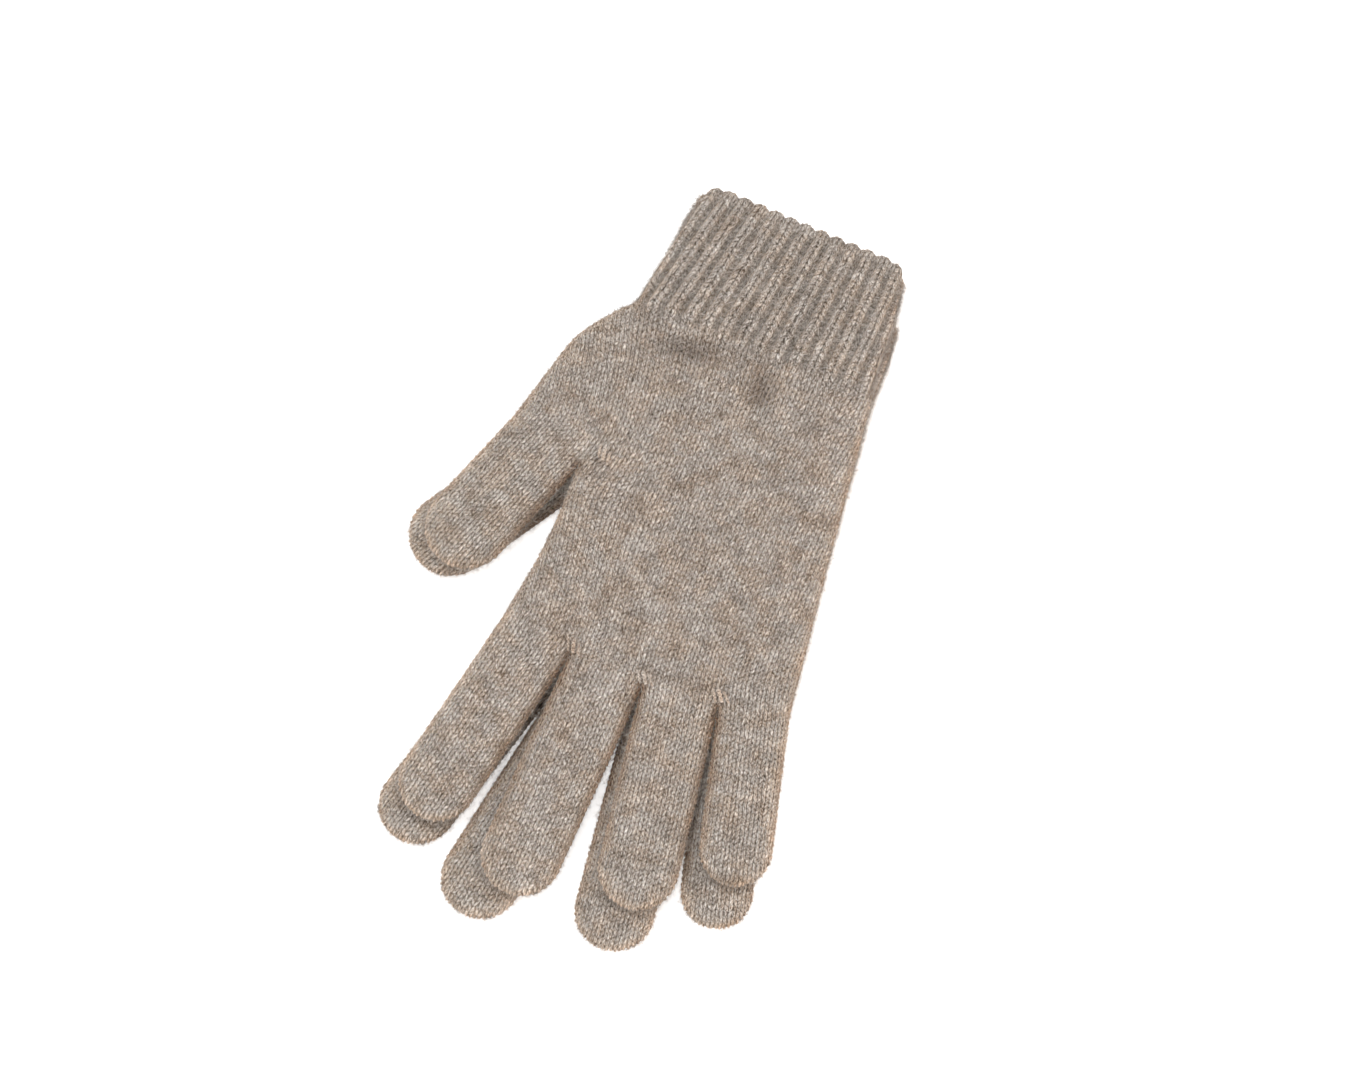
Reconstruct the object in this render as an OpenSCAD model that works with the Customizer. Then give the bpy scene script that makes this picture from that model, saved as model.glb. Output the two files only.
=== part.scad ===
// A pair of knitted gloves, lying flat with one glove on the other.
// Each glove is a flattened tube of knitted fabric: a ribbed cuff, a hand, a thumb and four fingers,
// closed at the fingertips and open at the cuff. The two gloves are alike and lie at slightly
// different angles. +Y runs from the fingertips to the cuffs and +Z is up.
// The origin is on the surface that the lower glove lies on, under the middle of the pair.

/* [Fabric] */
// Thickness of the knitted fabric
fabric = 1.6; // [1.2:0.1:2]
// Height of one glove as it lies, over both layers of fabric
loft = 9; // [8:0.5:12]
// Gap between the two gloves, filled by the nap of the wool
nap_gap = 0.8; // [0.7:0.1:1.5]
// Gap at a seam between pieces that move against each other
seam_gap = 0.3; // [0.2:0.05:0.6]

/* [Cuff] */
// Length of the ribbed cuff, with its edge
cuff_len = 43.5; // [30:0.5:80]
// Width of the cuff at its mouth
cuff_mouth_w = 75; // [60:1:90]
// Number of ribs around the cuff
rib_count = 28; // [16:2:36]
// Height of a rib above the valley beside it
rib_rise = 0.9; // [0.4:0.1:1.2]
// Fabric left under the valley between two ribs
rib_floor = 0.8; // [0.6:0.1:1.2]
// Length of the cast-off edge at the cuff's mouth
cuff_edge_len = 2.5; // [1.5:0.5:5]

/* [Hand] */
// Width of the hand at the wrist, where the cuff meets it
wrist_w = 84.5; // [75:0.5:95]
// Width of the hand at the thumb's crotch
palm_w = 89; // [80:1:100]
// Distance from the wrist to the thumb's crotch
thumb_drop = 61; // [50:1:75]
// Distance from the wrist to the index finger's outer knuckle
knuckle_drop = 116; // [105:1:135]
// How far the palm's middle lies from the wrist's middle, away from the thumb
palm_offset = 4.1; // [0:0.1:8]
// How far the index finger's outer knuckle stands out past the palm's edge
knuckle_flare = 4.5; // [0:0.5:8]

/* [Thumb] */
// Width of the thumb
thumb_w = 27.6; // [24:0.2:32]
// Length of the thumb from its crotch
thumb_len = 53.5; // [40:0.5:65]
// How far the gusset that the thumb grows from stands out past the wrist
gusset_swell = 15; // [8:0.5:18]
// How far that point of the gusset is from the wrist
gusset_drop = 18.5; // [12:0.5:24]

/* [Fingers] */
// Width of the index finger
index_w = 25.4; // [20:0.2:28]
// Length of the index finger
index_len = 70.5; // [55:0.5:85]
// Width of the middle finger
middle_w = 26.2; // [20:0.2:28]
// Length of the middle finger
middle_len = 78.5; // [60:0.5:95]
// Width of the ring finger
ring_w = 26; // [20:0.2:28]
// Length of the ring finger
ring_len = 70.5; // [58:0.5:90]
// Width of the little finger
little_w = 23.4; // [18:0.2:26]
// Length of the little finger
little_len = 57; // [45:0.5:75]

/* [Crotch stitches] */
// Number of joining stitches at each crotch
crotch_stitches = 3; // [2:1:5]
// Length of one joining stitch
crotch_stitch_len = 4.6; // [3:0.2:7]
// Thickness of the joining yarn
crotch_yarn_d = 1.2; // [0.8:0.1:1.3]

/* [Pair] */
// How far the lower glove is turned clockwise, seen from above
lower_turn = 4.8; // [0:0.2:8]
// How far the lower glove's wrist is shifted across, away from the thumbs
lower_shift_x = 2.3; // [0:0.1:8]
// How far the lower glove bends sideways, from its wrist to its palm
lower_sway = 6.7; // [0:0.1:8]
// How far the lower glove is shifted towards the fingertips
lower_shift_y = 12.6; // [8:0.1:20]

/* [Hidden] */
GLOVES = ["upper", "lower"];
FINGERS = ["thumb", "index_finger", "middle_finger", "ring_finger", "little_finger"];
CROTCHES = ["thumb_crotch", "index_crotch", "middle_crotch", "ring_crotch"];
PIECES = concat(
    ["hand", "cuff", "cuff_edge"],
    FINGERS,
    [for (crotch = CROTCHES) str(crotch, "_stitches")]
);

THUMB = 0;
INDEX = 1;
LITTLE = 4;
finger_w = [thumb_w, index_w, middle_w, ring_w, little_w];
finger_len = [thumb_len, index_len, middle_len, ring_len, little_len];

// How each glove's fingers and cuff lie, in degrees away from straight: fingers from -Y towards +X,
// the cuff anticlockwise seen from above. The list order is that of FINGERS.
upper_lay = [-21, -12.6, -3.3, 7.4, 13.5];
lower_lay = [-28.5, -11.5, -6.5, 11, 19];
upper_cuff_lean = -2.5;
lower_cuff_lean = 0.5;

// The upper glove's wrist, from the origin.
pair_x = 10.6;
pair_y = 83.3;

yarn_beige = [0.64, 0.59, 0.55];
rib_beige = [0.60, 0.55, 0.51];
yarn_pale = [0.70, 0.65, 0.60];
section_fn = 24;
tip_fn = 64;
points_per_rib = 6;
seam_reach = 30;       // how far the cutting shapes run past the fabric, to the side
cut_past = 1;          // how far they run past it above and below
seam_overlap = 2;      // how far the fabric runs on past a seam before it is cut there
slice_t = 0.2;         // thickness of the slices that the hand's fabric is stretched between
gusset_fairing = [12, -4];   // how far the gusset's fabric runs into the palm from the thumb's crotch
crotch_relief = 3;     // width of the notch under the thumb's crotch
stitch_pitch = 1.6;    // joining stitches from middle to middle, in yarn thicknesses
seat_blunting = 3.5;   // how far the hand stops short of a crotch between two round seats

function lay(glove) = glove == "upper" ? upper_lay : lower_lay;
function cuff_lean(glove) = glove == "upper" ? upper_cuff_lean : lower_cuff_lean;
function sway(glove) = glove == "upper" ? 0 : lower_sway;
function splays(glove) = glove == "lower";    // its fingers swing sideways, so their roots are round
function along(angle) = [sin(angle), -cos(angle)];    // a finger's direction
function across(angle) = [cos(angle), sin(angle)];    // the seam at its root, towards +X

// A point on the hand's left edge at a distance drop from the wrist, and flare out past the palm.
// The hand bends sideways evenly, so its sway grows with the distance from the wrist.
function left_edge(glove, drop, flare) =
    [palm_offset - palm_w / 2 - flare + sway(glove) * drop / knuckle_drop, -drop];
function thumb_crotch(glove) = left_edge(glove, thumb_drop, 0);

// The knuckle line from its left end, through the three crotches between fingers, to its right end.
function knuckle(glove, i) =
    i == INDEX ? left_edge(glove, knuckle_drop, knuckle_flare)
    : knuckle(glove, i - 1) + finger_w[i - 1] * across(lay(glove)[i - 1]);

function root_left(glove, i) =
    i == THUMB ? thumb_crotch(glove) - thumb_w * across(lay(glove)[THUMB]) : knuckle(glove, i);
function root_right(glove, i) =
    i == THUMB ? thumb_crotch(glove) : knuckle(glove, i + 1);

// ---- Flattened tubes -------------------------------------------------------------------------

// A tube's cross-section: w wide, loft high, with round sides, taken in by inset all round.
module section_2d(w, inset = 0) {
    h = loft - 2 * inset;
    translate([0, loft / 2])
        union() {
            square([w - loft, h], center = true);
            for (side = [-1, 1])
                translate([side * (w - loft) / 2, 0])
                    circle(d = h, $fn = section_fn);
        }
}

// A thin slice of a tube, standing across it between two points in plan.
module slice(from, to, inset) {
    span = to - from;
    translate([(from.x + to.x) / 2, (from.y + to.y) / 2, 0])
        rotate([0, 0, atan2(span.y, span.x)])
            rotate([90, 0, 0])
                linear_extrude(slice_t, center = true)
                    section_2d(norm(span), inset);
}

// A flattened finger tube along -Y from its root, with a half-round tip.
module finger_body(w, len, inset, root_run) {
    barrel = len - w / 2;
    rotate([90, 0, 0])
        translate([0, 0, -root_run])
            linear_extrude(barrel + root_run)
                section_2d(w, inset);
    translate([0, -barrel, 0])
        rotate([0, 0, 180])
            rotate_extrude(angle = 180, $fn = tip_fn)
                intersection() {
                    section_2d(w, inset);
                    translate([0, -loft])
                        square([w, 3 * loft]);
                }
}

// ---- Pieces of one glove, in its own frame: the origin is in the middle of the wrist ------------

function root_middle(glove, i) = (root_left(glove, i) + root_right(glove, i)) / 2;

// A finger's root in plan: straight where it bends up, round where it swings sideways.
module root_trim(glove, i, w) {
    past_tip = finger_len[i] + seam_reach;
    translate([0, 0, -cut_past])
        linear_extrude(loft + 2 * cut_past)
            union() {
                translate([-w, -past_tip])
                    square([2 * w, past_tip - (splays(glove) ? 0 : seam_gap)]);
                if (splays(glove))
                    circle(d = w, $fn = tip_fn);
            }
}

module finger(glove, i) {
    middle = root_middle(glove, i);
    w = finger_w[i] - 2 * seam_gap;
    color(yarn_beige)
        translate([middle.x, middle.y, 0])
            rotate([0, 0, lay(glove)[i]])
                intersection() {
                    root_trim(glove, i, w);
                    difference() {
                        finger_body(w, finger_len[i], 0, w / 2);
                        finger_body(w, finger_len[i] - fabric, fabric, w);
                    }
                }
}

// The hand's fabric before its seams are cut: wrist to palm, palm to knuckles, and the thumb's gusset.
module hand_pads(glove, inset) {
    wrist = [[-wrist_w / 2, seam_overlap], [wrist_w / 2, seam_overlap]];
    palm = [thumb_crotch(glove), thumb_crotch(glove) + [palm_w, 0]];
    past = [0, -seam_reach / 2];
    knuckles = [root_left(glove, INDEX) + past, root_right(glove, LITTLE) + past];
    root = [root_left(glove, THUMB), root_right(glove, THUMB)];
    past_root = seam_overlap * along(lay(glove)[THUMB]);
    gusset_bulge = [-wrist_w / 2 - gusset_swell, -gusset_drop];
    hull() {
        slice(wrist[0], wrist[1], inset);
        slice(palm[0], palm[1], inset);
    }
    hull() {
        slice(palm[0], palm[1], inset);
        slice(knuckles[0], knuckles[1], inset);
    }
    hull() {
        slice(wrist[0], [0, seam_overlap], inset);
        slice(gusset_bulge, [0, gusset_bulge.y], inset);
        slice(root[0] + past_root, root[1] + past_root + gusset_fairing, inset);
    }
}

// The seams that end the hand: the wrist, the knuckle line and the thumb's root.
module hand_window(glove) {
    translate([0, 0, -cut_past])
        linear_extrude(loft + 2 * cut_past)
            polygon(concat(
                [[-wrist_w, 0], [wrist_w, 0], [wrist_w, root_right(glove, LITTLE).y]],
                [for (i = [LITTLE:-1:INDEX]) root_right(glove, i)],
                [root_left(glove, INDEX), root_left(glove, INDEX) - [seam_reach, 0]],
                [thumb_crotch(glove) - crotch_relief * [1, 1], thumb_crotch(glove)],
                [root_left(glove, THUMB), [-wrist_w - seam_reach, root_left(glove, THUMB).y]]
            ));
}

// The round seats in the hand's edge for fingers that swing sideways, with the points between
// neighbouring seats blunted.
module root_seats(glove) {
    for (i = [THUMB:LITTLE]) {
        middle = root_middle(glove, i);
        translate([middle.x, middle.y, -cut_past])
            cylinder(h = loft + 2 * cut_past, d = finger_w[i], $fn = tip_fn);
    }
    for (i = [THUMB:LITTLE - 1])
        translate([root_right(glove, i).x, root_right(glove, i).y, -cut_past])
            cylinder(h = loft + 2 * cut_past, r = seat_blunting, $fn = section_fn);
}

module hand(glove) {
    color(yarn_beige)
        difference() {
            intersection() {
                hand_window(glove);
                difference() {
                    hand_pads(glove, 0);
                    hand_pads(glove, fabric);
                }
            }
            if (splays(glove))
                root_seats(glove);
        }
}

// The point a share f of the way round a flattened tube's section, and its outward normal.
// The section is w wide and h high, its middle is at half the loft, and f = 0 is at the right side's top.
function section_point(f, w, h) =
    let (flat = w - h, bend = PI * h / 2, run = f * 2 * (flat + bend))
    run < bend ? [[flat / 2, 0], 90 - 180 * run / bend, h / 2]
    : run < bend + flat ? [[flat / 2 - (run - bend), 0], -90, h / 2]
    : run < 2 * bend + flat ? [[-flat / 2, 0], -90 - 180 * (run - bend - flat) / bend, h / 2]
    : [[-flat / 2 + (run - 2 * bend - flat), 0], 90, h / 2];

// A ring of points around a cuff, its share t of the way from the wrist to the mouth.
// grow lifts it off the cuff's floor by that share of rib_rise, following the ribs.
function cuff_ring(glove, t, grow, inset) =
    let (
        count = rib_count * points_per_rib,
        w = wrist_w + (cuff_mouth_w - wrist_w) * t - 2 * rib_rise,
        h = loft - 2 * rib_rise,
        angle = cuff_lean(glove),
        reach = cuff_len * t,
        shift = [-sin(angle) * reach, cos(angle) * reach]
    )
    [
        for (k = [0:count - 1])
            let (
                at = section_point(k / count, w, h),
                rib = (1 + cos(360 * k / points_per_rib)) / 2,
                r = at[2] - inset + grow * rib_rise * rib,
                x = at[0].x + r * cos(at[1]),
                z = loft / 2 + r * sin(at[1])
            )
            [
                shift.x + x * cos(angle * t),
                seam_gap + shift.y + x * sin(angle * t),
                z
            ]
    ];

// A tube wall skinned through a closed loop of rings, all with the same number of points.
module ring_wall(rings) {
    count = len(rings[0]);
    polyhedron(
        points = [for (ring = rings, point = ring) point],
        faces = [
            for (r = [0:len(rings) - 1], k = [0:count - 1])
                let (
                    a = r * count + k,
                    b = r * count + (k + 1) % count,
                    next = ((r + 1) % len(rings)) * count
                )
                for (face = [[a, b, next + k], [b, next + (k + 1) % count, next + k]])
                    face
        ],
        convexity = 8
    );
}

edge_from = 1 - cuff_edge_len / cuff_len;    // where the cast-off edge starts, as a share of the cuff

module cuff(glove) {
    color(rib_beige)
        ring_wall([
            cuff_ring(glove, 0, 1, 0),
            cuff_ring(glove, 0, 0, rib_floor),
            cuff_ring(glove, edge_from, 0, rib_floor),
            cuff_ring(glove, edge_from, 1, 0)
        ]);
}

module cuff_edge(glove) {
    rounded_from = 1 - cuff_edge_len / cuff_len / 2;
    color(yarn_pale)
        ring_wall([
            cuff_ring(glove, edge_from, 1, 0),
            cuff_ring(glove, edge_from, 0, rib_floor),
            cuff_ring(glove, 1, 0, rib_floor),
            cuff_ring(glove, 1, 0.5, 0),
            cuff_ring(glove, rounded_from, 1, 0)
        ]);
}

// Yarn stitches that close the gap at a crotch: half-round strands that lie on the hand, side by side.
module crotch_stitches(glove, i) {
    at = root_right(glove, i);
    angle = i == THUMB ? lay(glove)[THUMB] : (lay(glove)[i] + lay(glove)[i + 1]) / 2;
    r = crotch_yarn_d / 2;
    from_edge = splays(glove) ? 2 * seat_blunting : i == THUMB ? loft / 2 : 2 * r;
    aside = i == THUMB ? from_edge : 0;
    pitch = stitch_pitch * crotch_yarn_d;
    color(yarn_pale)
        translate([at.x + aside, at.y, loft])
            rotate([0, 0, angle])
                for (k = [0:crotch_stitches - 1])
                    translate([(k - (crotch_stitches - 1) / 2) * pitch, from_edge + r, 0])
                        rotate([-90, 0, 0])
                            intersection() {
                                union() {
                                    cylinder(h = crotch_stitch_len - 2 * r, r = r, $fn = section_fn);
                                    for (end = [0, crotch_stitch_len - 2 * r])
                                        translate([0, 0, end])
                                            sphere(r, $fn = section_fn);
                                }
                                translate([-r, -2 * r, -r])
                                    cube([2 * r, 2 * r, crotch_stitch_len]);
                            }
}

// ---- The pair --------------------------------------------------------------------------------

module place(glove) {
    if (glove == "upper")
        translate([pair_x, pair_y, loft + nap_gap])
            children();
    else
        translate([pair_x + lower_shift_x, pair_y - lower_shift_y, 0])
            rotate([0, 0, -lower_turn])
                children();
}

module piece(glove, name) {
    place(glove) {
        if (name == "hand") hand(glove);
        if (name == "cuff") cuff(glove);
        if (name == "cuff_edge") cuff_edge(glove);
        for (i = [0:len(FINGERS) - 1])
            if (name == FINGERS[i]) finger(glove, i);
        for (i = [0:len(CROTCHES) - 1])
            if (name == str(CROTCHES[i], "_stitches")) crotch_stitches(glove, i);
    }
}

for (glove = GLOVES, name = PIECES)
    piece(glove, name);
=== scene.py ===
"""A pair of heather wool gloves with ribbed cuffs, lying flat with one glove on the other.

Every knitted surface is a grid of real stitches. The plan of each glove is laid out in millimetres in
the glove's own frame, with its origin in the middle of the wrist and the fingers along -Y. It gets its
rounded section, is raised and lowered stitch by stitch, and is placed in the shared frame in metres.
"""

import math
from collections import namedtuple

import bpy
import numpy as np
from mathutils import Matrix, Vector


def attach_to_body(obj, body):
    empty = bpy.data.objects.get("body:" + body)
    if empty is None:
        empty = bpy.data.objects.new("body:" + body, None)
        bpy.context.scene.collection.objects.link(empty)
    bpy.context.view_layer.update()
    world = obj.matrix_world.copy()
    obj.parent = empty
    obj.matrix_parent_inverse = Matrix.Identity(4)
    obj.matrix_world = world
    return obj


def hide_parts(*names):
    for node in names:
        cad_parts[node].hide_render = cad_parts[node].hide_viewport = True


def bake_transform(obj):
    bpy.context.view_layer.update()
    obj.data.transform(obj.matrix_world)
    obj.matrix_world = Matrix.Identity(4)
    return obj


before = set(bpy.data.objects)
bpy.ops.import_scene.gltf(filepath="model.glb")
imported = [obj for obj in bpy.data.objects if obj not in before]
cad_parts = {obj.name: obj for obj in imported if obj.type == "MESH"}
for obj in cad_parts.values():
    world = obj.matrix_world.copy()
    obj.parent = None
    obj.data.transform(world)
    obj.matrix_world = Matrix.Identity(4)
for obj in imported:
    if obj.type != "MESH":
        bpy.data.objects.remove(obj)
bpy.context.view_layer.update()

MM = 0.001
WELD = 0.004           # points of two pieces this close are one place, in millimetres

# ---- Sizes, as in part.scad, in millimetres and degrees ------------------------------------------
LOFT = 9.0
NAP_GAP = 0.8
FABRIC = 1.6
CUFF_LEN, CUFF_EDGE_LEN, CUFF_MOUTH_W = 43.5, 2.5, 75.0
WRIST_W, PALM_W = 84.5, 89.0
THUMB_DROP, KNUCKLE_DROP = 61.0, 116.0
PALM_OFFSET, KNUCKLE_FLARE = 4.1, 4.5
GUSSET_SWELL, GUSSET_DROP = 15.0, 18.5
FINGERS = ("thumb", "index_finger", "middle_finger", "ring_finger", "little_finger")
FINGER_W = (27.6, 25.4, 26.2, 26.0, 23.4)
FINGER_LEN = (53.5, 70.5, 78.5, 70.5, 57.0)
THUMB, INDEX, LITTLE = 0, 1, 4
CROTCHES = ("thumb_crotch", "index_crotch", "middle_crotch", "ring_crotch")
CROTCH_STITCHES, CROTCH_STITCH_LEN, CROTCH_YARN_D = 3, 4.6, 1.2
CROTCH_PITCH = 1.6     # from one join stitch to the next, in yarn diameters
SEAT_BLUNTING = 3.5

# The first seed of each glove's join stitches and of its loose fibres.
JOIN_SEED = {"upper": 300, "lower": 310}
NAP_SEED = {"upper": 500, "lower": 540}

GLOVES = {
    "upper": dict(lay=(-21, -12.6, -3.3, 7.4, 13.5), lean=-2.5, sway=0.0, turn=0.0,
                  at=(10.6, 83.3), base=LOFT + NAP_GAP),
    "lower": dict(lay=(-28.5, -11.5, -6.5, 11, 19), lean=0.5, sway=6.7, turn=-4.8,
                  at=(12.9, 70.7), base=0.0),
}

# ---- The outline and the section -----------------------------------------------------------------
CELL = 0.42            # the mesh's cell
CURVE_STEP = 0.25      # the step of an outline before it is resampled
LONG_OUTLINE, THINNED = 60, 5   # of an outline with more points than this, each fifth is measured to
GUSSET_SOFT, PALM_EDGE_SOFT, SIDE_SOFT = 7, 12, 8    # how far each outline's corners are softened
GUSSET_SHARE = 0.42    # the share of the gusset's rows above its widest place
PALM_WAIST = 2.2       # how far the palm's edge draws in between the thumb and the index finger
EDGE_R = 6.2           # plan width of the rounded side of a flattened tube
TURN_UNDER = 10        # past a crotch the fabric turns under over this length
TIP_ROWS = 0.8         # rows over a fingertip, as a share of its length in cells
MOUTH_CORNER = 7.5     # the cuff's two corners at the mouth are rounded over this width
MOUTH_CUT = 0.75       # how far they are cut back at the outline, as a share of that width
EDGE_ROWS, RIM_ROWS, BACK_ROWS, LINING_ROWS = 6, 8, 3, 36   # up, round and down the mouth, and inside

# ---- The knit ------------------------------------------------------------------------------------
WALE_PALM, WALE_WRIST, WALE_FINGER, WALE_THUMB = 2.83, 3.2, 2.7, 2.53
COURSE = 2.03
PALM_WALES_FROM = 55   # the wales have narrowed from the wrist's to the palm's at this drop
FINGERS_PULL_FROM = 25  # the fingers' own stitch directions are fully felt below this drop
PALM_HOLD = 15.0       # a finger's own direction takes over from the palm's at this distance
LEG_SLANT = 0.55       # how far a leg of a stitch rises across its width, in courses
LEG_NARROW = 1.9       # how narrow a leg is: over 2 there is a gap beside it
LEG_TILT = 0.1         # how far a leg leans across over its length, in its own widths
LEG_ENDS = 0.4         # the height of a leg's ends, as a share of its middle's
STITCH_RISE = 0.72     # the height of a stitch's leg over the hole beside it
STITCH_SEAT = 0.62     # the height in a stitch that lies on the fabric's middle, as a share of its rise
EDGE_OPENING = 0.7     # how much deeper the relief is along the outline
EDGE_OPENING_REACH = 0.25   # and how far from it, as a share of the glove's height
RIB_DEPTH = 1.15       # the depth of a purl valley below the knit ribs
RIB_RISE = 0.34        # the height of a leg on a rib
PURL_RISE = 0.1        # the height of the loops' backs in a valley
RIB_WIDENING = 0.55    # how much wider a rib is than the valley beside it
RIB_SKEW = 1.6         # how far the ribs drift to the right over the cuff, in wales
RIB_FADE = 7.0         # the ribs run out into the hand over this length
RIB_END = 0.45         # the share of the ribs' depth that is left at the mouth
RIB_END_BULGE = 0.8    # how far a rib's end stands out past the valleys at the mouth
LINING_RISE = 0.5      # the lining's relief, as a share of the outside's

# ---- Painted shade, and the fabric's unevenness and hollows --------------------------------------
CROTCH_SHADE_W = 3.4          # how far the painted shade in a crotch reaches onto the fingers beside it
CROTCH_SHADE_EASE, CROTCH_SHADE_EASE_LEN = 0.6, 45   # it eases by this share over this length from the root
CROTCH_SHADE_END, CROTCH_SHADE_PAST = 14, 4          # and ends over this length, just past the barrel of the finger
# Waves of (height, length, seed): the unevenness of the bed, and of the stitches' places and heights.
BED_BROAD = {"upper": (0.32, 46, 5), "lower": (0.32, 46, 6)}
BED_FINE = (0.14, 17, 8)
WALE_DRIFT, COURSE_DRIFT, RISE_DRIFT = (0.06, 9, 21), (0.10, 7, 22), (0.25, 6, 23)
# The soft hollows where the upper glove's hand sinks in under the cuff: (x, y, wide, tall, deep).
HOLLOWS = ((-19.5, -11, 9, 4, 2.8), (7, -15.5, 5, 6.5, 3.6), (-6, -8, 14, 5, 1.2), (-34, -12, 6, 8, 1.2))
DEEP_HOLLOW = 3.0      # a hollow this deep has the full painted shade
# The fabric is pulled in round the join stitches; on the upper glove the painted shade of the hollows
# darkens it there too.
CROTCH_DENT, CROTCH_DENT_W, CROTCH_DENT_BACK = 1.0, 3.6, 4.0

# ---- Joins, the map and the nap ------------------------------------------------------------------
JOIN_LEAN = (22, 40)   # how far a join stitch leans from the fingers' direction
JOIN_THICK = 1.3       # the middle stitch is the thickest
JOIN_ARCH = 1.8        # how high a stitch stands in its middle, in yarn radii
JOIN_STAND = 1.0       # the seat of the middle stitch
JOIN_SINK = -0.8       # the seat of the two that are pulled in beside it
JOIN_TWIST = 1.8       # turns of the two plies along one stitch
PLY_R, PLY_OUT = 0.62, 0.42   # a ply's radius and its way off the yarn's middle, in yarn radii
MAP_GAP, MAP_MARGIN, MAP_LINER = 0.006, 0.004, 0.35   # between strips, at their ends, a lining's share
NAP_PER_VERTEX = 0.2
NAP_LENGTH, NAP_LONGEST = (3.0, 0.6), 4   # a gamma distribution's shape and scale, cut off at the end
NAP_LIFT, NAP_CURL, NAP_HALF_WIDTH = (0.1, 0.75), 0.6, (0.03, 0.06)
NAP_AT_EDGE, NAP_EDGE_REACH = 8, 0.3      # how many more there are at the outline, and how far from it

Face = namedtuple("Face", "plan d s t rib pinch")


def along(angle):
    a = math.radians(angle)
    return np.array([math.sin(a), -math.cos(a)])


def across(angle):
    a = math.radians(angle)
    return np.array([math.cos(a), math.sin(a)])


def smooth(x):
    x = np.clip(x, 0, 1)
    return x * x * (3 - 2 * x)


def left_edge(glove, drop, flare):
    return np.array([PALM_OFFSET - PALM_W / 2 - flare + glove["sway"] * drop / KNUCKLE_DROP, -drop])


def knuckle(glove, i):
    if i == INDEX:
        return left_edge(glove, KNUCKLE_DROP, KNUCKLE_FLARE)
    return knuckle(glove, i - 1) + FINGER_W[i - 1] * across(glove["lay"][i - 1])


def root(glove, i):
    """The two ends of a finger's root."""
    if i == THUMB:
        crotch = left_edge(glove, THUMB_DROP, 0)
        return crotch - FINGER_W[THUMB] * across(glove["lay"][THUMB]), crotch
    return knuckle(glove, i), knuckle(glove, i + 1)


def turned(glove, vectors):
    a = math.radians(glove["turn"])
    spin = np.array([[math.cos(a), -math.sin(a), 0], [math.sin(a), math.cos(a), 0], [0, 0, 1]])
    return vectors @ spin.T


def placed(glove, points):
    """Points in the glove's own frame in millimetres, placed in the shared frame in metres."""
    return (turned(glove, points) + [*glove["at"], glove["base"]]) * MM


# ---- The rounded side of a flattened tube --------------------------------------------------------
phi = np.linspace(0, math.pi / 2, 400)
SIDE_D = EDGE_R * (1 - np.cos(phi))                      # distance in from the outline
SIDE_Z = LOFT / 2 * np.sin(phi)
SIDE_S = np.concatenate([[0], np.cumsum(np.hypot(np.diff(SIDE_D), np.diff(SIDE_Z)))])
SIDE_ARC = SIDE_S[-1]


def half_height(d):
    x = 1 - np.clip(d, 0, EDGE_R) / EDGE_R
    return LOFT / 2 * np.sqrt(np.clip(1 - x * x, 0, 1))


def unroll(d):
    """How much further out a point is on the fabric than in plan."""
    return SIDE_ARC - np.interp(d, SIDE_D, SIDE_S) - (EDGE_R - np.clip(d, 0, EDGE_R))


def spaced(width, count):
    """Shares of a width that are evenly spaced on the fabric over its two rounded sides."""
    total = width + 2 * (SIDE_ARC - EDGE_R)
    q = np.linspace(0, total, count + 1)
    x = np.where(q < SIDE_ARC, np.interp(q, SIDE_S, SIDE_D), q - SIDE_ARC + EDGE_R)
    x = np.where(q > total - SIDE_ARC, width - np.interp(total - q, SIDE_S, SIDE_D), x)
    return x / width


def columns(width):
    return int(round((width + 2 * (SIDE_ARC - EDGE_R)) / CELL))


# ---- Plans ---------------------------------------------------------------------------------------
def soft_curve(points, counts, soften):
    """A polyline with rounded corners, resampled with a count of steps for each of its legs."""
    points = [np.asarray(p, float) for p in points]
    fine, marks = [points[0]], [0]
    for a, b in zip(points, points[1:]):
        steps = max(2, int(np.linalg.norm(b - a) / CURVE_STEP))
        fine += [a + (b - a) * k / steps for k in range(1, steps + 1)]
        marks.append(len(fine) - 1)
    fine = np.array(fine)
    reach = int(soften / CURVE_STEP)
    padded = np.vstack([2 * fine[0] - fine[reach:0:-1], fine, 2 * fine[-1] - fine[-2:-reach - 2:-1]])
    kernel = np.ones(2 * reach + 1) / (2 * reach + 1)
    curve = np.stack([np.convolve(padded[:, k], kernel, "valid") for k in (0, 1)], 1)
    legs = [np.linspace(a, b, n + 1) for a, b, n in zip(marks, marks[1:], counts)]
    where = np.concatenate([legs[0]] + [leg[1:] for leg in legs[1:]])
    return np.stack([np.interp(where, np.arange(len(curve)), curve[:, k]) for k in (0, 1)], 1)


def line(a, b, shares):
    return np.asarray(a) + (np.asarray(b) - np.asarray(a)) * np.asarray(shares)[:, None]


def patch(top, bottom, left, right):
    """A plan grid filled in between its four edges, its rows from top to bottom."""
    v = np.linspace(0, 1, len(left))[:, None, None]
    u = np.linspace(0, 1, len(top))[None, :, None]
    top, bottom, left, right = top[None], bottom[None], left[:, None], right[:, None]
    corners = (
        (1 - u) * (1 - v) * top[:, :1] + u * (1 - v) * top[:, -1:]
        + (1 - u) * v * bottom[:, :1] + u * v * bottom[:, -1:]
    )
    return (1 - v) * top + v * bottom + (1 - u) * left + u * right - corners


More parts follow.
